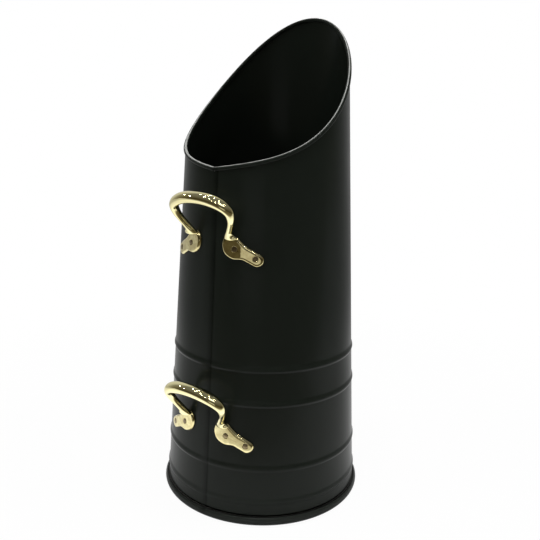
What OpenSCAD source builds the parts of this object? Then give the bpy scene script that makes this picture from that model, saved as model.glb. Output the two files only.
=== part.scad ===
// Tall coal scuttle: a tapered sheet-steel hod with a scooped mouth, a rolled foot and two
// cast brass handles riveted over its lock seam.
// The origin is on the axis at the floor. The seam and the handles face -Y, the lip is at +Y.

/* [Body] */
// Outside diameter of the cone at floor level
base_d = 208; // [190:1:230]
// Radius that the wall loses for each millimetre of height
taper = 0.055; // [0.03:0.001:0.07]
// Thickness of the body sheet
sheet = 0.8; // [0.6:0.1:1.2]

/* [Mouth] */
// Height of the rim at the tip of the lip
lip_h = 498.5; // [450:0.5:520]
// Height that the rim levels out to above the handles, before the dip
brow_h = 362; // [340:1:380]
// Depth of the dip that draws the rim down to the seam
dip = 12.7; // [4:0.1:18]
// Steepness of the rim in side view where it leaves the seam
brow_slope = 0.08; // [0:0.01:0.4]
// Steepness of the rim in side view at the lip
lip_slope = 1.5; // [1:0.01:1.8]
// Diameter of the wire inside the rim
rim_wire_d = 2.5; // [2:0.1:4]
// Gap between the two ends of the rolled rim at the seam
rim_break = 1.2; // [0.5:0.1:3]

/* [Swages] */
// Height midway between the lower pair of raised bands round the body
lower_pair_h = 42.4; // [40:0.1:52]
// Height midway between the upper pair of raised bands
upper_pair_h = 144; // [130:0.5:160]
// Distance between the two bands of a pair
pair_pitch = 35; // [28:0.1:38]
// Height of one raised band
swage_w = 8.6; // [6:0.1:12]
// How far a raised band stands out from the wall
swage_out = 1.1; // [0.6:0.1:2]

/* [Seam] */
// Width of the folded lock seam
seam_w = 5.8; // [4:0.1:9]
// How far the seam stands out from the wall
seam_out = 0.3; // [0.2:0.1:1.2]
// Width of the slope up to the seam on its folded side
seam_rise = 1.8; // [0.6:0.1:1.9]
// Width of the slope down on its closed side
seam_fall = 2; // [0.4:0.1:2]

/* [Foot ring and pan] */
// Diameter of the rolled ring that the scuttle stands on
ring_d = 11; // [7:0.1:12]
// How far the ring stands out beyond the wall
ring_out = 3.6; // [2:0.1:4]
// Depth of the flat worn on the underside of the ring
ring_flat = 0.4; // [0.2:0.1:0.8]
// Height of the upturned edge of the base pan
pan_edge = 11; // [7:0.5:16]
// Inside radius of the pan's corner
pan_corner = 3; // [1.5:0.5:5]

/* [Handles] */
// Height of the inner rivets of the upper handle
upper_handle_h = 277; // [250:1:290]
// Height of the inner rivets of the lower handle
lower_handle_h = 92.5; // [88:0.5:96]
// Angle between the bow and the wall
bow_lean = 28; // [15:1:40]
// Length of the bow along its own plane, from its root to the grip
bow_reach = 41; // [34:1:50]
// Half the width of the bow's centre line
bow_half = 33.5; // [30:0.5:38]
// Width of the bow's cross-section at the grip
grip_w = 12.7; // [9:0.1:14]
// Width of the bow's cross-section where its arms are thinnest
arm_w = 7.2; // [5:0.1:8]
// Thickness of the bow's cross-section for each millimetre of its width
bow_flatness = 0.86; // [0.7:0.01:1]

/* [Handle feet] */
// Distance of each inner rivet from the seam, along the wall
foot_at = 26.2; // [25:0.1:32]
// Distance of each outer rivet from the inner one, along the wall
outer_rivet_along = 20; // [18:0.1:22]
// How far each outer rivet is below the inner one
outer_rivet_drop = 8; // [6:0.1:9]
// Thickness of a foot
foot_t = 3.2; // [2.4:0.1:4]
// Width of the bevel round a foot
foot_bevel = 2; // [1:0.1:2.5]

/* [Rivets] */
// Diameter of the rivets' shanks
rivet_d = 4; // [3:0.1:4.6]
// Diameter of the domed heads inside the body
rivet_head_d = 9; // [7:0.1:12]
// Diameter of the hammered ends, sunk in the feet
rivet_end_d = 4.9; // [4.7:0.1:6]
// Depth of the sinking round each hammered end
rivet_sink = 0.9; // [0.5:0.1:1.4]

/* [Hidden] */

paint = [0.09, 0.1, 0.09];
brass = [0.82, 0.74, 0.47];
steel = [0.55, 0.55, 0.56];

// Play between two pieces that slide together
slide_gap = 0.1;
// Play round a wire in its roll
wire_gap = 0.05;
// Play between two pieces that are drawn tight together
seat_gap = 0.05;

// Foot ring
ring_r = ring_d / 2;
ring_h = ring_r - ring_flat;
ring_mid = base_d / 2 - taper * ring_h + ring_out - ring_r;
ring_top = ring_h + ring_r;
ring_mouth = 1;
foot_wire_r = ring_r - sheet - wire_gap;

// Rolled rim
rim_bore_r = rim_wire_d / 2 + wire_gap;
rim_r = rim_bore_r + sheet;
// The roll's centre lies this far inside the wall's outer face
rim_inset = 0.3;
rim_steps = 36;
rim_turns = 11;
wire_sides = 8;
// The roll's section runs from its free edge, below and outside, round to the wall
rim_from = -60;
rim_to = 265;

// Handle bow, in its own plane: across, then up from the root
bow_root_h = 12;
bow_root_out = 2.3;
bow_start = [24, -0.6];
bow_start_pull = [22.8, 7];
bow_bend = [bow_half, bow_reach * 0.63];
bow_bend_pull = 12;
bow_corner_pull = 9;
bow_crown_pull = 19;
neck_w = 15;
neck_share = 0.19;
// The neck's rounded end: how far down each section is, and its share of the width
neck_end = [[2.3, 0.35], [1.9, 0.66], [1, 0.9]];
bow_steps = 20;
bow_sides = 16;

// Outline of a foot, from its inner rivet: away from the seam, then up. It starts at the end
// nearest the seam, so that points as far from the start each way face each other.
foot_points = [
    [-13.2, 4.5], [-10.6, -4.8], [-2.4, -9.8], [7, -10], [13.8, -12.9],
    [21, -15.9], [27, -12.5], [26.8, -6.2], [19.4, -1.2], [11.2, 3.2], [5.6, 8], [0.8, 12], [-9.2, 12.2]
];
foot_curve_steps = 6;
// The line that the foot's bevel is drawn in towards
foot_spine = [[-2.5, 1.5], [outer_rivet_along, -outer_rivet_drop]];
foot_sunk = 1.5;
foot_edge = 0.4;
foot_softness = 0.35;

// Rivets
rivet_hole_r = rivet_d / 2 + slide_gap;
rivet_ring = 0.35;
rivet_sink_r = rivet_end_d / 2 + rivet_ring;
rivet_head_h = 2;
rivet_dome = 0.35;
// A flat head meets the curved wall at its edges first
rivet_seat = 0.14;

// ---- The wall ----

swages = [for (h = [lower_pair_h, upper_pair_h]) for (side = [-0.5, 0.5]) h + side * pair_pitch];

function wall_r(z) = base_d / 2 - taper * z;

cone_angle = atan(taper);

// A smooth bump: 1 in the middle of a band of width w, 0 at its edges
function bump(x, w) = abs(x) < w / 2 ? (1 + cos(360 * x / w)) / 2 : 0;

function swage_at(z) = swage_out * max([for (s = swages) bump(z - s, swage_w)]);

swage_steps = 8;
wall_foot = ring_h + sqrt(pow(ring_r - sheet / 2, 2) - pow(ring_mid - wall_r(ring_d) + sheet / 2, 2));
wall_top = lip_h + 10;
wall_heights = concat(
    [wall_foot],
    [for (s = swages) for (i = [0 : swage_steps]) s + swage_w * (i / swage_steps - 0.5)],
    [wall_top]
);

module wall_profile() {
    outer = [for (z = wall_heights) [wall_r(z) + swage_at(z), z]];
    inner = [for (i = [len(outer) - 1 : -1 : 0]) outer[i] - [sheet, 0]];
    polygon(concat(outer, inner));
}

// The sheet rolled round the foot wire, open where its edge comes back to the wall
module ring_profile() {
    difference() {
        translate([ring_mid, ring_h])
            circle(ring_r, $fn = 64);
        translate([ring_mid, ring_h])
            circle(ring_r - sheet, $fn = 64);
        translate([wall_r(ring_top), ring_h])
            square([ring_mouth, ring_d]);
        translate([0, -ring_d])
            square([base_d, ring_d]);
    }
}

module lock_seam() {
    seam_profile = [
        [-seam_w / 2, -sheet / 2], [seam_w / 2, -sheet / 2], [seam_w / 2, -sheet / 8],
        [seam_w / 2 - seam_fall, seam_out], [-seam_w / 2 + seam_rise, seam_out],
        [-seam_w / 2, -sheet / 8]
    ];
    translate([0, -base_d / 2, 0])
        rotate([-cone_angle, 0, 0])
            translate([0, 0, ring_d])
                linear_extrude(height = wall_top - ring_d)
                    polygon([for (p = seam_profile) [p.x, -p.y]]);
}

// ---- The rim ----

// Side view of the rim: a Hermite curve in y, with the dip taken off on the seam's side
function side_h(y, y0, y1) =
    let (
        run = y1 - y0,
        p = (y - y0) / run
    )
    brow_h * (2 * pow(p, 3) - 3 * pow(p, 2) + 1)
    + lip_h * (3 * pow(p, 2) - 2 * pow(p, 3))
    + brow_slope * run * (pow(p, 3) - 2 * pow(p, 2) + p)
    + lip_slope * run * (pow(p, 3) - pow(p, 2));

function rim_radius(z) = wall_r(z) - rim_inset;

// Height of the rim's centre line at an angle from the seam, closed in on by repeats
function rim_h(a, z = 400, repeats = 6) =
    repeats == 0 ? z :
    rim_h(
        a,
        side_h(-rim_radius(z) * cos(a), -rim_radius(brow_h), rim_radius(lip_h))
            - (cos(a) > 0 ? dip * (1 - abs(sin(a))) : 0),
        repeats - 1
    );

function rim_point(a) =
    let (
        z = rim_h(a),
        r = rim_radius(z)
    )
    [r * sin(a), -r * cos(a), z];

function unit(v) = v / norm(v);

// The rim's frame at an angle: outward, and up along the wall square to the rim
function rim_frame(a) =
    let (
        along = unit(rim_point(a + 0.5) - rim_point(a - 0.5)),
        out = [sin(a), -cos(a), taper],
        up = unit(cross(along, out)),
        square_out = unit(cross(up, along))
    )
    up.z > 0 ? [square_out, up] : [square_out, -up];

rim_end = rim_break / 2 / wall_r(brow_h) * 180 / PI;
rim_angles = [for (i = [0 : 2 * rim_steps]) rim_end + (360 - 2 * rim_end) * i / (2 * rim_steps)];

function rim_ring(a, section) =
    let (
        p = rim_point(a),
        f = rim_frame(a)
    )
    [for (s = section) p + s.x * f[0] + s.y * f[1]];

// A tube skinned over rings of equal length, closed at both ends
module skin(rings) {
    n = len(rings[0]);
    last = len(rings) - 1;
    sides = [
        for (i = [0 : last - 1]) for (j = [0 : n - 1])
            let (
                a = i * n + j,
                b = i * n + (j + 1) % n
            )
            each [[a, b, b + n], [a, b + n, a + n]]
    ];
    polyhedron(
        points = [for (r = rings) each r],
        faces = concat(sides, end_strip(n, 0, true), end_strip(n, last * n, false))
    );
}

// Triangles across one end of a tube, zigzag from the first and last points of its ring
function end_strip(n, first, start) = [
    for (k = [0 : n - 3])
        let (
            low = floor((k + 1) / 2),
            high = n - 1 - floor(k / 2),
            other = k % 2 == 0 ? low + 1 : high - 1,
            t = [low, other, high]
        )
        [for (q = (start ? [t[0], t[2], t[1]] : t)) first + q]
];

function arc_points(r, from, to, steps) =
    [for (i = [0 : steps]) r * [cos(from + (to - from) * i / steps), sin(from + (to - from) * i / steps)]];

module rolled_rim() {
    section = concat(
        arc_points(rim_r, rim_from, rim_to, rim_turns),
        arc_points(rim_bore_r, rim_to, rim_from, rim_turns)
    );
    skin([for (a = rim_angles) rim_ring(a, section)]);
}

// Everything above the rim, cut away so that the wall ends inside the rolled sheet
module mouth_cut() {
    drop = rim_bore_r + sheet / 2;
    edge = [
        for (a = [for (i = [0 : rim_steps]) 180 * i / rim_steps])
            let (
                p = rim_point(a),
                climb = norm(rim_point(a + 0.5) - rim_point(a - 0.5)) / (rim_radius(p.z) * PI / 180)
            )
            [p.y, p.z - drop * climb]
    ];
    far = wall_top + 10;
    rotate([90, 0, 90])
        translate([0, 0, -base_d])
            linear_extrude(height = 2 * base_d)
                polygon(concat(
                    [[-base_d, edge[0].y]], edge, [[base_d, edge[rim_steps].y], [base_d, far], [-base_d, far]]
                ));
}

// ---- Placing things on the wall ----

// Puts children at a place on the wall, given along the wall from the seam and up, with
// their Z axis square to the wall and pointing out
module on_wall(along, z) {
    rotate([0, 0, along / wall_r(z) * 180 / PI])
        translate([0, -wall_r(z), z])
            rotate([90 - cone_angle, 0, 0])
                children();
}

module at_rivet(side, outer, handle_h) {
    along = foot_at + (outer ? outer_rivet_along : 0);
    drop = outer ? outer_rivet_drop : 0;
    on_wall(side * along, handle_h - drop)
        children();
}

module each_rivet(handle_h) {
    for (side = [-1, 1])
        for (outer = [false, true])
            at_rivet(side, outer, handle_h)
                children();
}

// ---- Handles ----

function bezier(p0, p1, p2, p3, t) =
    pow(1 - t, 3) * p0 + 3 * pow(1 - t, 2) * t * p1 + 3 * (1 - t) * pow(t, 2) * p2 + pow(t, 3) * p3;

function bow_half_line() = concat(
    [
        for (i = [0 : bow_steps - 1])
            bezier(bow_start, bow_start_pull, bow_bend - [0, bow_bend_pull], bow_bend, i / bow_steps)
    ],
    [
        for (i = [0 : bow_steps])
            bezier(
                bow_bend, bow_bend + [0, bow_corner_pull],
                [bow_crown_pull, bow_reach], [0, bow_reach], i / bow_steps
            )
    ]
);

function ease(x) = x <= 0 ? 0 : x >= 1 ? 1 : x * x * (3 - 2 * x);

// Width of the bow: a flared neck, a thin arm, then the swell of the grip
function bow_w(s) = arm_w + (grip_w - arm_w) * ease((s - 0.25) / 0.6);

function neck_flare(s) = (neck_w - arm_w * bow_flatness) * pow(max(0, 1 - s / neck_share), 2);

function bow_to_space(p, handle_h) = [
    p.x,
    -wall_r(handle_h) - bow_root_out - p.y * sin(bow_lean),
    handle_h + bow_root_h + p.y * cos(bow_lean)
];

module bow(handle_h) {
    // The left half, from the neck's end to the crown, with each section's own share of its width
    bend = concat([for (e = neck_end) bow_start - [0, e[0]]], bow_half_line());
    ends = len(neck_end);
    n = len(bend) - 1;
    line = concat(bend, [for (i = [n - 1 : -1 : 0]) [-bend[i].x, bend[i].y]]);
    face_out = [0, -cos(bow_lean), -sin(bow_lean)];
    rings = [
        for (i = [0 : 2 * n])
            let (
                k = i <= n ? i : 2 * n - i,
                share = max(0, k - ends) / (n - ends),
                whole = k < ends ? neck_end[k][1] : 1,
                a = bow_to_space(line[max(i - 1, 0)], handle_h),
                b = bow_to_space(line[min(i + 1, 2 * n)], handle_h),
                inward = unit(cross(b - a, face_out)),
                w = whole * bow_w(share),
                thick = whole * (bow_w(share) * bow_flatness + neck_flare(share))
            )
            [
                for (k = [0 : bow_sides - 1])
                    bow_to_space(line[i], handle_h)
                        + cos(360 * k / bow_sides) * thick / 2 * inward
                        + sin(360 * k / bow_sides) * w / 2 * face_out
            ]
    ];
    skin(rings);
}

// A closed curve through the outline's points
function curve_through(points, steps) = [
    for (i = [0 : len(points) - 1])
        let (
            n = len(points),
            a = points[(i + n - 1) % n],
            b = points[i],
            c = points[(i + 1) % n],
            d = points[(i + 2) % n]
        )
        for (k = [0 : steps - 1])
            bezier(b, b + (c - a) / 6, c - (d - b) / 6, c, k / steps)
];

function nearest_on(p, a, b) =
    let (t = (p - a) * (b - a) / ((b - a) * (b - a)))
    a + min(1, max(0, t)) * (b - a);

// A place on a foot: across and up from its inner rivet, then out from the wall
function foot_to_space(p, out, side, handle_h) =
    let (
        z = handle_h + p.y,
        r = wall_r(z) + out,
        a = side * (foot_at + p.x) / wall_r(handle_h) * 180 / PI
    )
    [r * sin(a), -r * cos(a), z];

module foot(side, handle_h) {
    outline = curve_through(foot_points, foot_curve_steps);
    n = len(outline);
    soft = foot_bevel * foot_softness;
    // Each layer: how far it is drawn in, and its height
    layers = [
        [0, -foot_sunk],
        [0, foot_t * foot_edge],
        [foot_bevel - soft, foot_t - soft / 3],
        [foot_bevel + soft, foot_t]
    ];
    skin([
        for (l = layers) [
            for (i = [0 : n - 1])
                let (
                    p = outline[side > 0 ? (n - i) % n : i],
                    inner = nearest_on(p, foot_spine[0], foot_spine[1])
                )
                foot_to_space(p + unit(inner - p) * l[0], l[1], side, handle_h)
        ]
    ]);
}

module handle(handle_h) {
    difference() {
        union() {
            bow(handle_h);
            foot(-1, handle_h);
            foot(1, handle_h);
        }
        cylinder(h = wall_top, r1 = wall_r(0) + seat_gap, r2 = wall_r(wall_top) + seat_gap, $fn = 256);
        each_rivet(handle_h) {
            cylinder(h = 4 * foot_t, r = rivet_hole_r, center = true, $fn = 48);
            translate([0, 0, foot_t - rivet_sink])
                cylinder(h = foot_t, r = rivet_sink_r, $fn = 48);
        }
    }
}

// ---- Rivets ----

module rivet(side, outer, handle_h) {
    head_r = rivet_head_d / 2;
    inside = -sheet - rivet_seat;
    shoulder = foot_t - rivet_sink + seat_gap;
    color(brass)
        at_rivet(side, outer, handle_h)
            rotate_extrude($fn = 48)
                polygon([
                    [0, inside - rivet_head_h], [head_r * 0.5, inside - rivet_head_h * 0.88],
                    [head_r * 0.86, inside - rivet_head_h * 0.5], [head_r, inside],
                    [rivet_d / 2, inside], [rivet_d / 2, shoulder],
                    [rivet_end_d / 2, shoulder], [rivet_end_d / 2, foot_t],
                    [rivet_end_d * 0.3, foot_t + rivet_dome * 0.75], [0, foot_t + rivet_dome]
                ]);
}

// ---- The pieces ----

module body_shell() {
    color(paint)
        difference() {
            union() {
                difference() {
                    union() {
                        rotate_extrude($fn = 256) {
                            wall_profile();
                            ring_profile();
                        }
                        lock_seam();
                    }
                    mouth_cut();
                }
                rolled_rim();
            }
            for (h = [upper_handle_h, lower_handle_h])
                each_rivet(h)
                    cylinder(h = 6 * sheet, r = rivet_hole_r, center = true, $fn = 48);
        }
}

module rim_wire() {
    section = arc_points(rim_wire_d / 2, 0, 360 - 360 / wire_sides, wire_sides - 1);
    color(steel)
        skin([for (a = rim_angles) rim_ring(a, section)]);
}

module foot_wire() {
    color(steel)
        rotate_extrude($fn = 256)
            translate([ring_mid, ring_h])
                circle(foot_wire_r, $fn = 48);
}

module base_pan() {
    floor_h = ring_top + seat_gap;
    rim_h = floor_h + pan_edge;
    edge_r = wall_r(floor_h) - sheet - slide_gap;
    top_r = wall_r(rim_h) - sheet - slide_gap;
    corner_steps = 6;
    corner = [
        for (i = [0 : corner_steps])
            [sin(90 * i / corner_steps), 1 - cos(90 * i / corner_steps)]
    ];
    outer_r = pan_corner + sheet;
    color(paint)
        rotate_extrude($fn = 256)
            polygon(concat(
                [[0, floor_h]],
                [for (c = corner) [edge_r - outer_r + outer_r * c.x - taper * outer_r * c.y, floor_h + outer_r * c.y]],
                [[top_r, rim_h], [top_r - sheet, rim_h]],
                [
                    for (i = [corner_steps : -1 : 0])
                        [
                            edge_r - outer_r + pan_corner * corner[i].x - taper * outer_r * corner[i].y,
                            floor_h + sheet + pan_corner * corner[i].y
                        ]
                ],
                [[0, floor_h + sheet]]
            ));
}

module upper_handle() {
    color(brass)
        handle(upper_handle_h);
}

module lower_handle() {
    color(brass)
        handle(lower_handle_h);
}

body_shell();
rim_wire();
foot_wire();
base_pan();
upper_handle();
lower_handle();
rivet(-1, false, upper_handle_h);  // upper_left_inner_rivet
rivet(-1, true, upper_handle_h);  // upper_left_outer_rivet
rivet(1, false, upper_handle_h);  // upper_right_inner_rivet
rivet(1, true, upper_handle_h);  // upper_right_outer_rivet
rivet(-1, false, lower_handle_h);  // lower_left_inner_rivet
rivet(-1, true, lower_handle_h);  // lower_left_outer_rivet
rivet(1, false, lower_handle_h);  // lower_right_inner_rivet
rivet(1, true, lower_handle_h);  // lower_right_outer_rivet
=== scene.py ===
"""The looks of the tall coal scuttle: camera, studio, paint and brass, with the hod's soft seam and
rolled edges and the handles' cast form made finely from the solids' own sizes."""

import math

import bpy
import bmesh
import numpy as np
from mathutils import Matrix, Vector


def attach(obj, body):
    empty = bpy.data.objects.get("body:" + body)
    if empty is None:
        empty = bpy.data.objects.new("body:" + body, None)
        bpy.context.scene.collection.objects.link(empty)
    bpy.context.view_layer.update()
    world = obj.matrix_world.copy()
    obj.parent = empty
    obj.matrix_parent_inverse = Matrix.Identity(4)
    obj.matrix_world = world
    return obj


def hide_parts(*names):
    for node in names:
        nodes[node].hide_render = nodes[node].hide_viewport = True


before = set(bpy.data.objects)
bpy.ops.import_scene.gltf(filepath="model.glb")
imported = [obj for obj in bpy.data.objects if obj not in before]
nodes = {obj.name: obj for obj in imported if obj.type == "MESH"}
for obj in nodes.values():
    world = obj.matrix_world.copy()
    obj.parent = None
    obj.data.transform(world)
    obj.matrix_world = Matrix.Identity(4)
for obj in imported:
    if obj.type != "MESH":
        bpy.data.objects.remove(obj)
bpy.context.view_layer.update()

MM = 0.001

# ---- Sizes of the solids, in mm ----

# The wall
BASE_R = 104.0
TAPER = 0.055
CONE_ANGLE = math.atan(TAPER)
SHEET = 0.8

# The mouth and its rolled rim
LIP_H = 498.5
BROW_H = 362.0
DIP = 12.7
BROW_SLOPE = 0.08
LIP_SLOPE = 1.5
RIM_BORE_R = 1.3
RIM_R = RIM_BORE_R + SHEET
RIM_INSET = 0.3
RIM_BREAK = 1.2
RIM_FROM, RIM_TO = -60, 265

# The raised bands
PAIR_HEIGHTS = (42.4, 144.0)
PAIR_PITCH = 35.0
SWAGE_HEIGHTS = [pair + side * PAIR_PITCH for pair in PAIR_HEIGHTS for side in (-0.5, 0.5)]
SWAGE_W = 8.6
SWAGE_OUT = 1.1

SEAM_W = 5.8

# The rolled foot ring
RING_R = 5.5
RING_FLAT = 0.4
RING_OUT = 3.6
RING_H = RING_R - RING_FLAT
RING_MID = BASE_R - TAPER * RING_H + RING_OUT - RING_R

# The handles' bows
UPPER_HANDLE_H = 277.0
LOWER_HANDLE_H = 92.5
BOW_LEAN = math.radians(28)
BOW_REACH = 41.0
BOW_HALF = 33.5
GRIP_W = 12.7
ARM_W = 7.2
BOW_FLATNESS = 0.86
BOW_ROOT_H = 12.0
BOW_ROOT_OUT = 2.3
BOW_START = (24.0, -0.6)
BOW_START_PULL = (22.8, 7.0)
BOW_BEND = (BOW_HALF, BOW_REACH * 0.63)
BOW_BEND_PULL = 12.0
BOW_CORNER_PULL = 9.0
BOW_CROWN_PULL = 19.0
NECK_W = 15.0
NECK_SHARE = 0.19
NECK_END = 2.3

# The handles' feet: the outline is measured from the inner rivet, outward and up
FOOT_AT = 26.2
FOOT_T = 3.2
FOOT_BEVEL = 2.0
FOOT_POINTS = [
    (-13.2, 4.5), (-10.6, -4.8), (-2.4, -9.8), (7, -10), (13.8, -12.9), (21, -15.9), (27, -12.5),
    (26.8, -6.2), (19.4, -1.2), (11.2, 3.2), (5.6, 8), (0.8, 12), (-9.2, 12.2),
]
INNER_RIVET = (0, 0)
OUTER_RIVET = (20.0, -8.0)
FOOT_SPINE = ((-2.5, 1.5), OUTER_RIVET)

# The rivets' holes and sinkings
RIVET_HOLE_R = 2.1
RIVET_SINK = 0.9
RIVET_SINK_R = 2.8

# ---- Forms finer than the solids', in mm ----

# The seam slopes up from its left, and shows as a low step down on its right
SEAM_STEP = 0.16
SEAM_FALL = 1.2
SEAM_SLOPE_FROM = -4.5
# How far the seam wanders to the right by the foot
SEAM_DRIFT = 2.6
# Share of a raised band's height that is left where it crosses the seam
SEAM_SWAGE = 0.35
# A raised band's crest lies below its middle by this share of its width
SWAGE_PEAK = -0.12
# The raised bands are flatter in front, the lower ones more so: shares of their height lost
SWAGE_WEAR = (0.6, 0.45, 0.15, 0.15)
SWAGE_WORN_AT = math.radians(30)
SWAGE_WORN_SPAN = math.radians(38)
# The wall tucks in by this much where it meets the foot ring, over this height
TUCK = 0.4
TUCK_H = 1.5
# Width of the slit between the wall and the roll's edge
RING_MOUTH = 1.2
# A foot's back lies this far off the wall
FOOT_BACK = 0.1
# Half the width over which the bevel of a foot's face is rounded, as a share of the bevel
BEVEL_SOFT = 0.35
# Shares of the way from neck to crown at which the bow starts to swell, and over which it does
SWELL_FROM = 0.25
SWELL_OVER = 0.6
# The edge of a rivet's sinking is broken from below the foot's face to above it, and widens
SINK_EDGE_FROM = -0.3
SINK_EDGE_TO = 0.15
SINK_EDGE_WIDENS = 0.5
# The castings are joined on a grid of this size and then softened
VOXEL = 0.36
SOFTENING = 9
SOFTENING_SHARE = 0.5

# ---- Fineness of the meshes ----

RIM_STATIONS = 420
ROLL_STEPS = 26
WALL_ROWS = 90
BAND_ROWS = 17
TUCK_ROWS = 9
# Columns of the wall: close together at the seam, then evenly spread
SEAM_COLUMN = 0.3
SEAM_SPAN = 9.0
WALL_COLUMNS = 300
RING_STEPS = 60
RING_COLUMNS = 400
BOW_STEPS = 61
BOW_SIDES = 56
NECK_END_STEPS = 9
# Degrees from the neck's end at which its rounding starts
NECK_END_FROM = 84
OUTLINE_STEPS = 14
# A foot's rings of vertices: shares of the way from its outline to its spine, at its back and face,
# and the share of its thickness at its edge
BACK_RINGS = (0.97, 0.6, 0.25, 0)
FACE_RINGS = (0, 0.3, 0.65, 0.97)
EDGE_RING = 0.4
TURNED_SIDES = 48
# The rim's height is found by rounds from a first guess
RIM_GUESS = 400.0
RIM_ROUNDS = 6
# The rim's direction is taken over this much on both sides of a station
RIM_PROBE = math.radians(0.5)
# A hole's cutter reaches this far to both sides of the wall's face, and a sinking's from under that
# face to over the foot's
HOLE_REACH = 3
SINK_UNDER = -1
SINK_OVER = 2
# Edges sharper than these many degrees stay sharp
HOD_SHARP = 40
HANDLE_SHARP = 60


def wall_r(z):
    """Outside radius of the plain wall at height z."""
    return BASE_R - TAPER * z


def around_axis(r, a, z):
    """Points at radius r and height z, at angle a from the seam."""
    return np.stack([r * np.sin(a), -r * np.cos(a), z], 1)


def smoothstep(x):
    x = np.clip(x, 0, 1)
    return x * x * (3 - 2 * x)


def unit(v):
    return v / np.linalg.norm(v, axis=-1, keepdims=True)


def arc_points(turn):
    return np.stack([np.cos(turn), np.sin(turn)], 1)


# ---- Meshes from sections ----

def loft(sections, closed=False):
    """Vertices and quads over sections of equal length, each a closed loop. closed joins the last
    section to the first, and otherwise both ends are capped."""
    count, around = len(sections), len(sections[0])
    points = np.concatenate(sections)
    j = np.arange(around)
    after = (j + 1) % around
    faces = []
    for i in range(count if closed else count - 1):
        a, b = i * around, (i + 1) % count * around
        faces += np.stack([a + j, a + after, b + after, b + j], 1).tolist()
    if not closed:
        faces.append(list(range(around))[::-1])
        faces.append([(count - 1) * around + k for k in range(around)])
    return points, faces


def mesh_object(name, parts):
    """One object of the parts (vertices in mm, faces), with outward normals."""
    points, faces, start = [], [], 0
    for part_points, part_faces in parts:
        points.append(part_points * MM)
        faces += [[start + k for k in face] for face in part_faces]
        start += len(part_points)
    mesh = bpy.data.meshes.new(name)
    mesh.from_pydata(np.concatenate(points).tolist(), [], faces)
    edit = bmesh.new()
    edit.from_mesh(mesh)
    bmesh.ops.recalc_face_normals(edit, faces=edit.faces)
    edit.to_mesh(mesh)
    edit.free()
    obj = bpy.data.objects.new(name, mesh)
    bpy.context.scene.collection.objects.link(obj)
    return obj


def vertex_places(mesh):
    points = np.empty(len(mesh.vertices) * 3)
    mesh.vertices.foreach_get("co", points)
    return points.reshape(-1, 3)


def remove_object(obj):
    """Removes the object with its mesh."""
    mesh = obj.data
    bpy.data.objects.remove(obj)
    bpy.data.meshes.remove(mesh)


def taken_apart(obj):
    """The object's vertices in mm and its faces, with the object itself removed."""
    points = vertex_places(obj.data)
    faces = [list(polygon.vertices) for polygon in obj.data.polygons]
    remove_object(obj)
    return points / MM, faces


def bake_modifiers(obj):
    """Applies the object's modifiers to its mesh."""
    graph = bpy.context.evaluated_depsgraph_get()
    mesh = bpy.data.meshes.new_from_object(obj.evaluated_get(graph), depsgraph=graph)
    obj.modifiers.clear()
    old = obj.data
    obj.data = mesh
    bpy.data.meshes.remove(old)


def shade(obj, sharp_degrees):
    for polygon in obj.data.polygons:
        polygon.use_smooth = True
    obj.data.set_sharp_from_angle(angle=math.radians(sharp_degrees))


def cut_away(obj, tools):
    """Cuts the tools' closed parts out of the object."""
    tool = mesh_object("cutter", tools)
    cut = obj.modifiers.new("cut", "BOOLEAN")
    cut.operation = "DIFFERENCE"
    cut.solver = "EXACT"
    cut.object = tool
    bake_modifiers(obj)
    remove_object(tool)


# ---- Rivets' places on the wall ----

def at_rivet(side, place, handle_h):
    """A rivet's centre on the wall, and the axes across, up and out there."""
    z = handle_h + place[1]
    a = side * (FOOT_AT + place[0]) / wall_r(z)
    level = math.cos(CONE_ANGLE)
    out = np.array([math.sin(a) * level, -math.cos(a) * level, math.sin(CONE_ANGLE)])
    across = np.array([math.cos(a), math.sin(a), 0])
    up = np.cross(out, across)
    centre = np.array([wall_r(z) * math.sin(a), -wall_r(z) * math.cos(a), z])
    return centre, across, up, out


def turned(side, place, handle_h, profile):
    """A solid turned about a rivet's axis from a profile of (radius, distance out)."""
    centre, across, up, out = at_rivet(side, place, handle_h)
    angles = np.arange(TURNED_SIDES) * 2 * math.pi / TURNED_SIDES
    sections = [
        centre + h * out + r * (np.cos(angles)[:, None] * across + np.sin(angles)[:, None] * up)
        for r, h in profile
    ]
    return loft(sections)


def at_rivets(handle_h, profile):
    """The solid turned from the profile, at each of a handle's four rivets."""
    return [
        turned(side, place, handle_h, profile)
        for side in (-1, 1) for place in (INNER_RIVET, OUTER_RIVET)
    ]


# ---- The hod ----

def rim_radius(z):
    return wall_r(z) - RIM_INSET


def rim_h(a):
    """Height of the rim's centre line at angle a from the seam."""
    z = np.full_like(a, RIM_GUESS)
    y0, y1 = -rim_radius(BROW_H), rim_radius(LIP_H)
    run = y1 - y0
    for _ in range(RIM_ROUNDS):
        p = (-rim_radius(z) * np.cos(a) - y0) / run
        hermite = (
            BROW_H * (2 * p ** 3 - 3 * p ** 2 + 1) + LIP_H * (3 * p ** 2 - 2 * p ** 3)
            + BROW_SLOPE * run * (p ** 3 - 2 * p ** 2 + p) + LIP_SLOPE * run * (p ** 3 - p ** 2)
        )
        z = hermite - np.where(np.cos(a) > 0, DIP * (1 - np.abs(np.sin(a))), 0)
    return z


def rim_point(a):
    z = rim_h(a)
    return around_axis(rim_radius(z), a, z)


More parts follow.
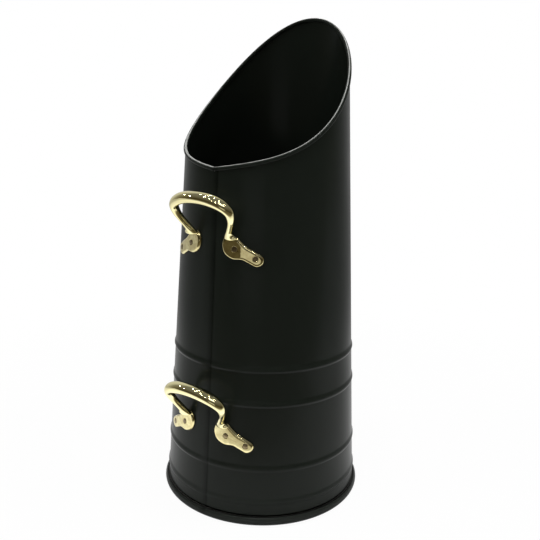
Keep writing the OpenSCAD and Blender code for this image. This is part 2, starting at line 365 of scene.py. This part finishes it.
def rolled_rim():
    """The sheet's edge rolled outward round the rim wire, open at the seam."""
    end = RIM_BREAK / 2 / wall_r(BROW_H)
    a = np.linspace(end, 2 * math.pi - end, RIM_STATIONS)
    along = unit(rim_point(a + RIM_PROBE) - rim_point(a - RIM_PROBE))
    radial = around_axis(1, a, np.full_like(a, TAPER))
    up = unit(np.cross(along, radial))
    up *= np.sign(up[:, 2:])
    out = unit(np.cross(up, along))
    out *= np.sign((out * radial).sum(1))[:, None]
    arc = arc_points(np.radians(np.linspace(RIM_FROM, RIM_TO, ROLL_STEPS)))
    section = np.concatenate([arc * RIM_R, arc[::-1] * RIM_BORE_R])
    places = rim_point(a)
    return loft([
        places[i] + section[:, :1] * out[i] + section[:, 1:] * up[i] for i in range(len(a))
    ])


def wall_angles():
    near = np.arange(-SEAM_SPAN, SEAM_SPAN + SEAM_COLUMN / 2, SEAM_COLUMN) / BASE_R
    far = np.linspace(near[-1], 2 * math.pi + near[0], WALL_COLUMNS)[1:-1]
    return np.concatenate([near, far])


def wall_foot():
    """Height at which the wall stands on the middle of the foot ring's sheet."""
    aside = RING_MID - wall_r(2 * RING_R) + SHEET / 2
    return RING_H + math.sqrt((RING_R - SHEET / 2) ** 2 - aside ** 2)


def seam_height(s):
    """How far the seam stands out at a distance s from its middle."""
    rise = np.clip((s - SEAM_SLOPE_FROM) / (SEAM_W / 2 - SEAM_SLOPE_FROM), 0, 1)
    return SEAM_STEP * rise * smoothstep((SEAM_W / 2 + SEAM_FALL - s) / SEAM_FALL)


def band_share(z, s, away):
    """Share of the raised bands' full height at heights z, at a distance s from the seam's middle and
    an angle away from its place at the rim."""
    worn = math.exp(-((away - SWAGE_WORN_AT) / SWAGE_WORN_SPAN) ** 2)
    share = np.zeros_like(z)
    for h, wear in zip(SWAGE_HEIGHTS, SWAGE_WEAR):
        x = (z - h) / SWAGE_W - SWAGE_PEAK
        x = np.clip(np.where(x > 0, x / (0.5 - SWAGE_PEAK), x / (0.5 + SWAGE_PEAK)), -1, 1)
        share = np.maximum(share, (1 + np.cos(math.pi * x)) / 2 * (1 - wear * worn))
    return share * (1 - (1 - SEAM_SWAGE) * np.exp(-(s / SEAM_W) ** 2))


def wall():
    """The sheet from the foot ring up to the rim, with its bands and seam."""
    angles = wall_angles()
    foot_z = wall_foot()
    rows = list(foot_z + TUCK_H * np.linspace(0, 1, TUCK_ROWS))
    for h in SWAGE_HEIGHTS:
        rows += list(h + SWAGE_W * (np.linspace(0, 1, BAND_ROWS) - 0.5))
    tops = rim_h(angles)
    lean = np.gradient(tops, angles) / wall_r(tops)
    tops = tops - (RIM_BORE_R + SHEET / 2) * np.sqrt(1 + lean ** 2)
    sections = []
    for a, top in zip(angles, tops):
        z = np.concatenate([rows, np.linspace(rows[-1], top, WALL_ROWS)[1:]])
        away = (a + math.pi) % (2 * math.pi) - math.pi
        s = away * wall_r(z) - SEAM_DRIFT * (1 - z / BROW_H)
        tucked = TUCK * smoothstep((foot_z + TUCK_H - z) / TUCK_H)
        r = wall_r(z) + SWAGE_OUT * band_share(z, s, away) - tucked
        loop_r = np.concatenate([r + seam_height(s), (r - SHEET)[::-1]])
        sections.append(around_axis(loop_r, a, np.concatenate([z, z[::-1]])))
    return loft(sections, closed=True)


def foot_ring():
    """The sheet rolled round the foot wire, up to the mouth of the roll beside the wall."""
    mouth = wall_r(RING_H + RING_R)
    gap_from = math.acos((mouth + RING_MOUTH - RING_MID) / RING_R)
    gap_to = math.acos((mouth - RING_MID) / RING_R)
    arc = arc_points(np.linspace(gap_to, 2 * math.pi + gap_from, RING_STEPS))
    centre = np.array([RING_MID, RING_H])
    section = np.concatenate([centre + arc * RING_R, (centre + arc * (RING_R - SHEET))[::-1]])
    section[:, 1] = np.maximum(section[:, 1], 0)
    angles = np.linspace(0, 2 * math.pi, RING_COLUMNS, endpoint=False)
    return loft([around_axis(section[:, 0], a, section[:, 1]) for a in angles], closed=True)


def make_hod():
    sheet = mesh_object("sheet", [wall()])
    hole = [(RIVET_HOLE_R, -HOLE_REACH), (RIVET_HOLE_R, HOLE_REACH)]
    # The wall is cut before it is joined to the rolls, which it runs into
    cut_away(sheet, at_rivets(UPPER_HANDLE_H, hole) + at_rivets(LOWER_HANDLE_H, hole))
    hod = mesh_object("hod_body", [taken_apart(sheet), rolled_rim(), foot_ring()])
    shade(hod, HOD_SHARP)
    return hod


# ---- Handles ----

def bezier(p0, p1, p2, p3, t):
    t = t[:, None]
    p0, p1, p2, p3 = (np.array(p, float) for p in (p0, p1, p2, p3))
    return (1 - t) ** 3 * p0 + 3 * (1 - t) ** 2 * t * p1 + 3 * (1 - t) * t ** 2 * p2 + t ** 3 * p3


def bow(handle_h):
    """The bow with its two necks."""
    t = np.linspace(0, 1, BOW_STEPS)
    bend_x, bend_y = BOW_BEND
    lower = bezier(BOW_START, BOW_START_PULL, (bend_x, bend_y - BOW_BEND_PULL), BOW_BEND, t)
    upper = bezier(
        BOW_BEND, (bend_x, bend_y + BOW_CORNER_PULL), (BOW_CROWN_PULL, BOW_REACH), (0, BOW_REACH), t)
    half = np.concatenate([lower[:-1], upper])
    share = np.linspace(0, 1, len(half))
    # The necks end in a rounded ledge
    round_end = np.radians(np.linspace(NECK_END_FROM, 0, NECK_END_STEPS)[:-1])
    ledge = np.array(BOW_START) - np.stack([0 * round_end, NECK_END * np.sin(round_end)], 1)
    half = np.concatenate([ledge, half])
    share = np.concatenate([0 * round_end, share])
    whole = np.concatenate([np.cos(round_end), np.ones(len(half) - len(round_end))])
    # The other half is its mirror image
    line = np.concatenate([half, half[-2::-1] * (-1, 1)])
    share = np.concatenate([share, share[-2::-1]])
    whole = np.concatenate([whole, whole[-2::-1]])
    places = np.stack([
        line[:, 0],
        -wall_r(handle_h) - BOW_ROOT_OUT - line[:, 1] * math.sin(BOW_LEAN),
        handle_h + BOW_ROOT_H + line[:, 1] * math.cos(BOW_LEAN),
    ], 1)
    face_out = np.array([0, -math.cos(BOW_LEAN), -math.sin(BOW_LEAN)])
    width = ARM_W + (GRIP_W - ARM_W) * smoothstep((share - SWELL_FROM) / SWELL_OVER)
    flare = (NECK_W - ARM_W * BOW_FLATNESS) * np.clip(1 - share / NECK_SHARE, 0, None) ** 2
    thick = whole * (width * BOW_FLATNESS + flare)
    width = whole * width
    inward = unit(np.cross(np.gradient(places, axis=0), face_out))
    turn = np.linspace(0, 2 * math.pi, BOW_SIDES, endpoint=False)
    return loft([
        places[i]
        + np.cos(turn)[:, None] * thick[i] / 2 * inward[i]
        + np.sin(turn)[:, None] * width[i] / 2 * face_out
        for i in range(len(places))
    ])


def foot_outline():
    """The closed curve through the outline's points."""
    points = np.array(FOOT_POINTS, float)
    a, b, c, d = (np.roll(points, k, axis=0) for k in (1, 0, -1, -2))
    t = np.linspace(0, 1, OUTLINE_STEPS, endpoint=False)
    return np.concatenate([
        bezier(b[i], b[i] + (c[i] - a[i]) / 6, c[i] - (d[i] - b[i]) / 6, c[i], t)
        for i in range(len(points))
    ])


def nearest_on(points, start, end):
    """The nearest place to each point on the line from start to end."""
    start, end = np.array(start, float), np.array(end, float)
    along = end - start
    t = np.clip((points - start) @ along / (along @ along), 0, 1)
    return start + t[:, None] * along


def foot(side, handle_h):
    """One foot, curved with the wall and bevelled all round."""
    outline = foot_outline()
    spine = nearest_on(outline, *FOOT_SPINE)
    inward = unit(spine - outline)
    soft = FOOT_BEVEL * BEVEL_SOFT
    face = FOOT_BEVEL + soft
    # Each layer: how far it is drawn in, the share of the way to the spine, and its height
    layers = [(0, share, FOOT_BACK) for share in BACK_RINGS]
    layers += [(0, 0, FOOT_T * EDGE_RING), (FOOT_BEVEL - soft, 0, FOOT_T - soft / 3)]
    layers += [(face, share, FOOT_T) for share in FACE_RINGS]
    sections = []
    for drawn_in, share, height in layers:
        p = outline + inward * drawn_in
        p = p + (spine - p) * share
        z = handle_h + p[:, 1]
        a = side * (FOOT_AT + p[:, 0]) / wall_r(handle_h)
        sections.append(around_axis(wall_r(z) + height, a, z))
    return loft(sections)


def keep_off_wall(mesh):
    """Puts what the softening drew into the wall back on its face."""
    points = vertex_places(mesh)
    r = np.hypot(points[:, 0], points[:, 1])
    least = (wall_r(points[:, 2] / MM) + FOOT_BACK / 2) * MM
    points[:, :2] *= np.maximum(1, least / r)[:, None]
    mesh.vertices.foreach_set("co", points.ravel())


def make_handle(name, handle_h):
    handle = mesh_object(name, [bow(handle_h), foot(-1, handle_h), foot(1, handle_h)])
    cast = handle.modifiers.new("cast", "REMESH")
    cast.mode = "VOXEL"
    cast.voxel_size = VOXEL * MM
    soften = handle.modifiers.new("soften", "SMOOTH")
    soften.factor = SOFTENING_SHARE
    soften.iterations = SOFTENING
    bake_modifiers(handle)
    keep_off_wall(handle.data)
    sunk = FOOT_T - RIVET_SINK
    widest = RIVET_SINK_R + SINK_EDGE_WIDENS
    cut_away(handle, at_rivets(handle_h, [
        (RIVET_HOLE_R, SINK_UNDER), (RIVET_HOLE_R, sunk), (RIVET_SINK_R, sunk),
        (RIVET_SINK_R, FOOT_T + SINK_EDGE_FROM), (widest, FOOT_T + SINK_EDGE_TO),
        (widest, FOOT_T + SINK_OVER),
    ]))
    shade(handle, HANDLE_SHARP)
    return handle


# ---- Camera, as it stood for the photograph ----

# Degrees round the hod's axis from the seam, then mm from the axis and over the floor
CAMERA_AZIMUTH = 35.5
CAMERA_DISTANCE = 709.97
CAMERA_HEIGHT = 405.05
# In radians
CAMERA_PITCH = 0.2313
CAMERA_YAW = 0.0071
CAMERA_ROLL = 0.0238
# In mm
CAMERA_LENS = 45.568
CAMERA_SENSOR = 36
# In metres
CAMERA_CLIP = (0.01, 50)


def make_camera():
    turn = Matrix.Rotation(math.radians(CAMERA_AZIMUTH), 3, "Z")
    forward = Vector((
        math.sin(CAMERA_YAW) * math.cos(CAMERA_PITCH),
        math.cos(CAMERA_YAW) * math.cos(CAMERA_PITCH),
        -math.sin(CAMERA_PITCH),
    ))
    right = forward.cross(Vector((0, 0, 1))).normalized()
    up = right.cross(forward)
    c, s = math.cos(CAMERA_ROLL), math.sin(CAMERA_ROLL)
    axes = [turn @ (c * right + s * up), turn @ (c * up - s * right), turn @ -forward]
    place = turn @ Vector((0, -CAMERA_DISTANCE, CAMERA_HEIGHT)) * MM
    data = bpy.data.cameras.new("camera")
    data.lens = CAMERA_LENS
    data.sensor_width = CAMERA_SENSOR
    data.clip_start, data.clip_end = CAMERA_CLIP
    camera = bpy.data.objects.new("camera", data)
    bpy.context.scene.collection.objects.link(camera)
    camera.matrix_world = Matrix((
        (axes[0].x, axes[1].x, axes[2].x, place.x),
        (axes[0].y, axes[1].y, axes[2].y, place.y),
        (axes[0].z, axes[1].z, axes[2].z, place.z),
        (0, 0, 0, 1),
    ))
    bpy.context.scene.camera = camera


# ---- Shader helpers ----

def new_material(name):
    material = bpy.data.materials.new(name)
    material.use_nodes = True
    tree = material.node_tree
    return material, tree, tree.nodes["Principled BSDF"]


def add(tree, kind, **settings):
    node = tree.nodes.new(kind)
    for key, value in settings.items():
        setattr(node, key, value)
    return node


def object_space(tree):
    return add(tree, "ShaderNodeTexCoord").outputs["Object"]


# Most of a noise's values lie between these
NOISE_CONTRAST = (0.3, 0.7)


def noise(tree, scale, detail):
    """A noise in object space. scale is in cycles per metre."""
    texture = add(tree, "ShaderNodeTexNoise")
    texture.inputs["Scale"].default_value = scale
    texture.inputs["Detail"].default_value = detail
    tree.links.new(object_space(tree), texture.inputs["Vector"])
    return texture.outputs["Fac"]


def spread(tree, value, low, high, start=0.0, end=1.0, smooth=False):
    """value, from start to end, mapped to low to high."""
    node = add(tree, "ShaderNodeMapRange")
    node.interpolation_type = "SMOOTHSTEP" if smooth else "LINEAR"
    node.inputs["From Min"].default_value = start
    node.inputs["From Max"].default_value = end
    node.inputs["To Min"].default_value = low
    node.inputs["To Max"].default_value = high
    tree.links.new(value, node.inputs["Value"])
    return node.outputs["Result"]


def maths(tree, operation, a, b):
    node = add(tree, "ShaderNodeMath", operation=operation)
    for socket, value in zip(node.inputs, (a, b)):
        if isinstance(value, (int, float)):
            socket.default_value = value
        else:
            tree.links.new(value, socket)
    return node.outputs[0]


def product(tree, first, *others):
    for other in others:
        first = maths(tree, "MULTIPLY", first, other)
    return first


def between(tree, value, rise, fall):
    """1 from the end of the ramp rise to the start of the ramp fall, and 0 outside them."""
    risen = spread(tree, value, 0, 1, *rise, smooth=True)
    return product(tree, risen, spread(tree, value, 1, 0, *fall, smooth=True))


def along_axis(tree, vector, axis):
    node = add(tree, "ShaderNodeVectorMath", operation="DOT_PRODUCT")
    node.inputs[1].default_value = axis
    tree.links.new(vector, node.inputs[0])
    return node.outputs["Value"]


def length_of(tree, vector):
    node = add(tree, "ShaderNodeVectorMath", operation="LENGTH")
    tree.links.new(vector, node.inputs[0])
    return node.outputs["Value"]


def mix_colour(tree, factor, a, b):
    node = add(tree, "ShaderNodeMix", data_type="RGBA")
    tree.links.new(factor, node.inputs["Factor"])
    for name, value in (("A", a), ("B", b)):
        socket = [i for i in node.inputs if i.name == name and i.type == "RGBA"][0]
        if isinstance(value, tuple):
            socket.default_value = (*value, 1)
        else:
            tree.links.new(value, socket)
    return [o for o in node.outputs if o.type == "RGBA"][0]


def mix_shader(tree, factor, a, b):
    node = add(tree, "ShaderNodeMixShader")
    for socket, value in zip(node.inputs, (factor, a, b)):
        tree.links.new(value, socket)
    return node.outputs[0]


def bump(tree, height, distance, strength):
    node = add(tree, "ShaderNodeBump")
    node.inputs["Distance"].default_value = distance
    node.inputs["Strength"].default_value = strength
    tree.links.new(height, node.inputs["Height"])
    return node.outputs["Normal"]


# ---- Places on the hod, in metres, for its materials ----

def height_of(tree):
    """Height over the floor."""
    return along_axis(tree, object_space(tree), (0, 0, 1))


def off_wall(tree):
    """Distance outside the plain wall."""
    level = add(tree, "ShaderNodeVectorMath", operation="MULTIPLY")
    level.inputs[1].default_value = (1, 1, 0)
    tree.links.new(object_space(tree), level.inputs[0])
    out = length_of(tree, level.outputs["Vector"])
    leaned = product(tree, height_of(tree), TAPER)
    return maths(tree, "SUBTRACT", maths(tree, "ADD", out, leaned), BASE_R * MM)


def off_seam(tree):
    """Distance to the right of the middle of the seam, which drifts."""
    aside = along_axis(tree, object_space(tree), (1, 0, 0))
    drift = product(tree, height_of(tree), SEAM_DRIFT / BROW_H)
    return maths(tree, "SUBTRACT", maths(tree, "ADD", aside, drift), SEAM_DRIFT * MM)


# ---- Paint ----

# Clouds, peel, patches and grain, here and in the metals, are noises: cycles per metre and detail
PAINT_CLOUDS = (9, 3)
# The paint's colour in the clouds' darkest and lightest places, and its roughness there
PAINT_DARK = (0.0104, 0.0132, 0.0104)
PAINT_LIGHT = (0.0134, 0.0164, 0.0131)
PAINT_ROUGHNESS = (0.27, 0.35)
PAINT_SPECULAR = 0.05
PAINT_COAT = 0.08
PAINT_COAT_ROUGHNESS = 0.16
# Its faint orange peel: a noise, then depth in metres and strength
PEEL = (900, 2)
PEEL_BUMP = (0.00004, 0.3)
# The inside is painted darker: painted shade for its unlit hollow, and soot. Distances from the wall
# between which it begins
INSIDE_SHADE_AND_SOOT = (0.0080, 0.0102, 0.0080)
INSIDE_FROM = (-0.0005, -0.0002)
# The foot ring's paint is greyed by what it stands in, which fades out between these heights
DUST = (0.021, 0.024, 0.021)
DUST_TOP = (0.007, 0.0125)
# Painted shade in the groove over the foot ring, and along the seam: heights at which it fades in and
# out in the groove
PAINTED_SHADE = (0.0012, 0.0016, 0.0012)
GROOVE_FOOT = (0.0088, 0.0098)
GROOVE_TOP = (0.0104, 0.0110)
# Painted shade lies along the seam's step: distances from the seam between which it fades in and out
CREASE_IN = (-0.0045, 0.0034)
CREASE_OUT = (0.0036, 0.0058)
# It is on the seam's side of the hod alone
SEAM_SIDE = (-0.06, -0.05)
# Shares of the light that it takes in its faintest and strongest patches, from one value of their
# noise to another
CREASE_SHADE = (0.392, 0.56)
CREASE_PATCHES = (60, 2)
CREASE_CONTRAST = (0.35, 0.65)
# The rim is painted light grey along its crest, and on top where it is level: rubbed-thin paint, and
# a painted highlight where it faces up
WORN_AND_LIT = (0.39, 0.395, 0.38)
# Distances from the wall between which the rubbing and painted highlight fade in and out
CREST_IN = (-0.0011, -0.0006)
CREST_OUT = (0.0001, 0.0006)
# Upward shares of the surface's normal between which it fades in, on the crest and where level
RIM_UPWARD = (0.1, 0.3)
RIM_LEVEL = (0.7, 0.86)
# Heights between which it begins, so that nothing lower down has it
RIM_FROM_H = (0.335, 0.34)
RUBBED_PATCHES = (210, 4)
# Its share where it is patchy
RUBBED_LEAST = 0.6


def seam_crease_shade(tree):
    """How much light the painted shade along the seam's step takes."""
    in_crease = between(tree, off_seam(tree), CREASE_IN, CREASE_OUT)
    seam_side = spread(tree, along_axis(tree, object_space(tree), (0, 1, 0)), 1, 0, *SEAM_SIDE)
    patchy = spread(tree, noise(tree, *CREASE_PATCHES), *CREASE_SHADE, *CREASE_CONTRAST)
    return product(tree, in_crease, seam_side, patchy)


def rim_wear_and_highlight(tree):
    """How far the rim's paint is rubbed through, with a painted highlight where it faces up."""
    upward = along_axis(tree, add(tree, "ShaderNodeNewGeometry").outputs["Normal"], (0, 0, 1))
    on_rim = product(
        tree, spread(tree, upward, 0, 1, *RIM_UPWARD, smooth=True),
        spread(tree, height_of(tree), 0, 1, *RIM_FROM_H))
    crest = between(tree, off_wall(tree), CREST_IN, CREST_OUT)
    crest = maths(tree, "MAXIMUM", crest, spread(tree, upward, 0, 1, *RIM_LEVEL, smooth=True))
    rubbed = spread(tree, noise(tree, *RUBBED_PATCHES), RUBBED_LEAST, 1.0, *NOISE_CONTRAST)
    return product(tree, on_rim, crest, rubbed)


def black_paint():
    material, tree, shader = new_material("satin_black_paint")
    cloud = noise(tree, *PAINT_CLOUDS)
    clean = mix_colour(tree, cloud, PAINT_DARK, PAINT_LIGHT)
    dusty = spread(tree, height_of(tree), 1, 0, *DUST_TOP, smooth=True)
    # The inside is darker: painted shade of the hollow, and soot
    inside = spread(tree, off_wall(tree), 1, 0, *INSIDE_FROM)
    painted = mix_colour(tree, inside, mix_colour(tree, dusty, clean, DUST), INSIDE_SHADE_AND_SOOT)
    # The rim's rubbed paint and painted highlight, light grey
    worn = mix_colour(tree, rim_wear_and_highlight(tree), painted, WORN_AND_LIT)
    # Painted shade in the groove over the foot ring and along the seam's step: near-black colour and
    # no coat there
    groove_shaded = between(tree, height_of(tree), GROOVE_FOOT, GROOVE_TOP)
    clear = product(
        tree, maths(tree, "SUBTRACT", 1, groove_shaded), maths(tree, "SUBTRACT", 1, seam_crease_shade(tree)))
    tree.links.new(mix_colour(tree, clear, PAINTED_SHADE, worn), shader.inputs["Base Color"])
    rough = spread(tree, cloud, *PAINT_ROUGHNESS, *NOISE_CONTRAST)
    tree.links.new(rough, shader.inputs["Roughness"])
    tree.links.new(product(tree, clear, PAINT_COAT), shader.inputs["Coat Weight"])
    shader.inputs["Specular IOR Level"].default_value = PAINT_SPECULAR
    shader.inputs["Coat Roughness"].default_value = PAINT_COAT_ROUGHNESS
    tree.links.new(bump(tree, noise(tree, *PEEL), *PEEL_BUMP), shader.inputs["Normal"])
    return material


# ---- Brass and steel ----

# Colours in the clouds' darkest and lightest places and where tarnished, and the roughness
CAST_BRASS = ((0.84, 0.76, 0.40), (0.93, 0.86, 0.50), (0.56, 0.47, 0.23), 0.03)
RIVET_BRASS = ((0.24, 0.19, 0.10), (0.42, 0.34, 0.19), (0.16, 0.12, 0.07), 0.28)
BRASS_CLOUDS = (45, 3)
# Depth in metres and strength
BRASS_BUMP = (0.0003, 0.2)
# The grain takes the roughness from this much under what is given to this much over it
BRASS_GRAIN = (500, 2)
BRASS_ROUGHNESS_SPAN = (-0.02, 0.04)
# Tarnish fades out between these distances from the wall. Its shares are those of its thinnest and
# thickest patches
TARNISH_OFF_WALL = (0.0034, 0.0052)
TARNISH = (0.2, 0.8)
TARNISH_PATCHES = (160, 3)
# The wires' scale, as dark and as light as it gets, and its roughness
STEEL_DARK = (0.035, 0.034, 0.033)
STEEL_LIGHT = (0.09, 0.085, 0.08)
STEEL_ROUGHNESS = (0.45, 0.65)
STEEL_CLOUDS = (120, 3)


def brass(name, dark, light, dull, rough):
    """Brass that is bright where hands and cloth reach it, and dull in patches close to the wall."""
    material, tree, shader = new_material(name)
    shader.inputs["Metallic"].default_value = 1
    cloud = noise(tree, *BRASS_CLOUDS)
    near = spread(tree, off_wall(tree), 1, 0, *TARNISH_OFF_WALL, smooth=True)
    patchy = spread(tree, noise(tree, *TARNISH_PATCHES), *TARNISH, *NOISE_CONTRAST, smooth=True)
    bright = mix_colour(tree, cloud, dark, light)
    coloured = mix_colour(tree, product(tree, near, patchy), bright, dull)
    least, most = (rough + more for more in BRASS_ROUGHNESS_SPAN)
    tree.links.new(coloured, shader.inputs["Base Color"])
    tree.links.new(spread(tree, noise(tree, *BRASS_GRAIN), least, most), shader.inputs["Roughness"])
    tree.links.new(bump(tree, cloud, *BRASS_BUMP), shader.inputs["Normal"])
    return material


def steel_wire():
    material, tree, shader = new_material("drawn_steel_wire")
    shader.inputs["Metallic"].default_value = 1
    cloud = noise(tree, *STEEL_CLOUDS)
    tree.links.new(mix_colour(tree, cloud, STEEL_DARK, STEEL_LIGHT), shader.inputs["Base Color"])
    tree.links.new(spread(tree, cloud, *STEEL_ROUGHNESS), shader.inputs["Roughness"])
    return material


# ---- Studio ----

# From the camera to the hod, level with the floor
AWAY = (-math.sin(math.radians(CAMERA_AZIMUTH)), math.cos(math.radians(CAMERA_AZIMUTH)), 0.0)
WHITE = (1.0, 1.0, 1.0)
# The tint of the room and floor behind the camera
WARM = (1.0, 0.84, 0.5)

# The mirrored room: its strength low down behind the camera, behind the hod, and overhead
ROOM_DARK = 0.035
ROOM_LIGHT = 0.66
CEILING = 0.17
# Ramps over the share of a direction that points away from the camera: low down, overhead, in tint
LOW_RAMP = (-0.3, 1.0)
HIGH_RAMP = (0.25, 0.7)
TINT_RAMP = (-0.1, 0.4)
# From low down to overhead, over a direction's upward share
UPWARD_RAMP = (0.0, 0.75)

# The floor in metres. It lies a little under the hod
FLOOR_SIZE = 8.0
FLOOR_UNDER = 0.0002
FLOOR_COLOUR = 0.8
FLOOR_ROUGHNESS = 0.9
FLOOR_SPECULAR = 0.1
# How white it looks to the camera, between these distances from the hod's axis
FLOOR_WHITENESS = (0.96, 1.0)
FLOOR_FADE = (0.35, 0.75)
# The mirrored floor's strength is a product of ramps: from one share to another between two
# distances in metres. The first two run away from the camera, past the hod's axis, and the last two
# outward from the axis
FLOOR_FRONT = (0.22, 1.5, -0.43, -0.16)
FLOOR_BACK = (1.0, 0.75, -0.1, 0.06)
# A painted shadow close under the hod's edge, then a pool of painted light that fades outward
FLOOR_SHADED = (0.45, 1.0, 0.108, 0.145)
FLOOR_POOL = (1.0, 0.45, 0.15, 0.9)
# Its tint fades between these, away from the camera
FLOOR_TINT_RAMP = (-0.5, -0.25)

# Height that all the lamps face
LAMP_TARGET_H = 0.25
# Each lamp: azimuth from behind the camera and elevation in degrees, distance and (width, height) in
# metres, and watts. These light the hod and aren't mirrored in it
LAMPS = {
    "lamp_overhead": (0, 80, 1.8, (0.7, 0.7), 24),
    "lamp_left": (-75, 35, 2.0, (0.7, 0.7), 12),
    "lamp_right": (80, 35, 2.0, (0.7, 0.7), 12),
}
# These are only mirrored: a pale card in front for the handles' outer lobes, and a light over the
# camera for the foot ring's shoulder and the rim
MIRRORED_LAMPS = {
    "card": (-17, -4, 1.5, (0.7, 0.4), 0.46),
    "light_front": (0, 43, 1.9, (0.9, 0.5), 3.4),
}
# So are the small lamps under the ceiling, which sparkle in the brass: azimuths and elevations
SPARKS = (
    (-105, 34), (-84, 27), (-47, 38), (-33, 38), (-76, 51), (-60, 55), (-10, 51), (-91, 62),
    (-111, 58), (-126, 69), (-135, 81), (40, 60), (58, 58), (14, 80), (-170, 56),
)
SPARK = (2.2, (0.06, 0.06), 0.8)


def make_world():
    """White to the camera. Mirrored in the hod, a room with a grey ceiling, dark low down behind the
    camera and pale behind the hod."""
    world = bpy.data.worlds.new("studio")
    bpy.context.scene.world = world
    world.use_nodes = True
    tree = world.node_tree
    tree.nodes.clear()
    white = add(tree, "ShaderNodeBackground")
    white.inputs["Color"].default_value = (*WHITE, 1)
    room = add(tree, "ShaderNodeBackground")
    direction = add(tree, "ShaderNodeTexCoord").outputs["Generated"]
    ahead = along_axis(tree, direction, AWAY)
    raised = spread(tree, along_axis(tree, direction, (0, 0, 1)), 0, 1, *UPWARD_RAMP)
    low = spread(tree, ahead, ROOM_DARK, ROOM_LIGHT, *LOW_RAMP, smooth=True)
    high = spread(tree, ahead, CEILING, ROOM_LIGHT, *HIGH_RAMP, smooth=True)
    low_share = product(tree, low, maths(tree, "SUBTRACT", 1, raised))
    tree.links.new(
        maths(tree, "ADD", low_share, product(tree, high, raised)), room.inputs["Strength"])
    cool = maths(tree, "MAXIMUM", raised, spread(tree, ahead, 0, 1, *TINT_RAMP))
    tree.links.new(mix_colour(tree, cool, WARM, WHITE), room.inputs["Color"])
    to_camera = add(tree, "ShaderNodeLightPath").outputs["Is Camera Ray"]
    out = add(tree, "ShaderNodeOutputWorld")
    tree.links.new(
        mix_shader(tree, to_camera, room.outputs[0], white.outputs[0]), out.inputs["Surface"])


def make_floor():
    """A pale floor that keeps the hod's shadow and runs into white further out. Mirrored in the hod,
    it glows with painted light, bright beside and behind it with a painted shadow close under it, and
    falls dark towards the camera."""
    s = FLOOR_SIZE / 2
    mesh = bpy.data.meshes.new("floor")
    mesh.from_pydata([(-s, -s, 0), (s, -s, 0), (s, s, 0), (-s, s, 0)], [], [(0, 1, 2, 3)])
    floor = bpy.data.objects.new("floor", mesh)
    floor.location.z = -FLOOR_UNDER
    bpy.context.scene.collection.objects.link(floor)
    material, tree, shader = new_material("floor_white")
    shader.inputs["Base Color"].default_value = (FLOOR_COLOUR, FLOOR_COLOUR, FLOOR_COLOUR, 1)
    shader.inputs["Roughness"].default_value = FLOOR_ROUGHNESS
    shader.inputs["Specular IOR Level"].default_value = FLOOR_SPECULAR
    rays = add(tree, "ShaderNodeLightPath").outputs
    where = object_space(tree)
    far = length_of(tree, where)
    beyond = along_axis(tree, where, AWAY)

    white = add(tree, "ShaderNodeEmission")
    whiteness = spread(tree, far, *FLOOR_WHITENESS, *FLOOR_FADE, smooth=True)
    to_camera = mix_shader(tree, whiteness, shader.outputs[0], white.outputs[0])

    # Seen only in reflections, the floor glows: painted light, with a painted shadow under the hod's
    # edge
    mirrored = add(tree, "ShaderNodeEmission")
    cool = spread(tree, beyond, 0, 1, *FLOOR_TINT_RAMP)
    tree.links.new(mix_colour(tree, cool, WARM, WHITE), mirrored.inputs["Color"])
    tree.links.new(product(
        tree,
        spread(tree, beyond, *FLOOR_FRONT, smooth=True),
        spread(tree, beyond, *FLOOR_BACK, smooth=True),
        spread(tree, far, *FLOOR_SHADED, smooth=True),
        spread(tree, far, *FLOOR_POOL),
    ), mirrored.inputs["Strength"])

    seen = mix_shader(tree, rays["Is Camera Ray"], shader.outputs[0], to_camera)
    seen = mix_shader(tree, rays["Is Glossy Ray"], seen, mirrored.outputs[0])
    tree.links.new(seen, tree.nodes["Material Output"].inputs["Surface"])
    mesh.materials.append(material)


def add_lamp(name, azimuth, elevation, distance, size, watts, mirrored):
    """A lamp facing the hod, either lighting it or only mirrored in it."""
    data = bpy.data.lights.new(name, "AREA")
    data.shape = "RECTANGLE"
    data.size, data.size_y = size
    data.energy = watts
    lamp = bpy.data.objects.new(name, data)
    a = math.radians(azimuth + CAMERA_AZIMUTH)
    e = math.radians(elevation)
    back = Vector((math.sin(a) * math.cos(e), -math.cos(a) * math.cos(e), math.sin(e)))
    lamp.location = Vector((0, 0, LAMP_TARGET_H)) + back * distance
    lamp.rotation_mode = "QUATERNION"
    lamp.rotation_quaternion = back.to_track_quat("Z", "Y")
    lamp.visible_glossy = mirrored
    lamp.visible_diffuse = not mirrored
    lamp.visible_camera = False
    bpy.context.scene.collection.objects.link(lamp)


def make_lamps():
    for name, lamp in LAMPS.items():
        add_lamp(name, *lamp, mirrored=False)
    for name, lamp in MIRRORED_LAMPS.items():
        add_lamp(name, *lamp, mirrored=True)
    for k, direction in enumerate(SPARKS):
        add_lamp("spark_%d" % k, *direction, *SPARK, mirrored=True)


# ---- Assembly ----

def dress(obj, material):
    obj.data.materials.clear()
    obj.data.materials.append(material)


make_camera()
make_world()
make_floor()
make_lamps()

paint = black_paint()
cast_brass = brass("cast_brass", *CAST_BRASS)
rivet_brass = brass("rivet_brass", *RIVET_BRASS)
wire = steel_wire()

for name, node in nodes.items():
    if name.endswith("rivet"):
        dress(node, rivet_brass)
    elif name.endswith("handle"):
        dress(node, cast_brass)
    elif name.endswith("wire"):
        dress(node, wire)
    else:
        dress(node, paint)

pieces = [
    (make_hod(), "body_shell", "black_paint", paint),
    (make_handle("cast_upper_handle", UPPER_HANDLE_H), "upper_handle", "cast_brass", cast_brass),
    (make_handle("cast_lower_handle", LOWER_HANDLE_H), "lower_handle", "cast_brass", cast_brass),
]
for piece, node, slot, material in pieces:
    dress(piece, material)
    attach(piece, "root")
    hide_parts(node)

scene = bpy.context.scene
scene.view_settings.view_transform = "Standard"
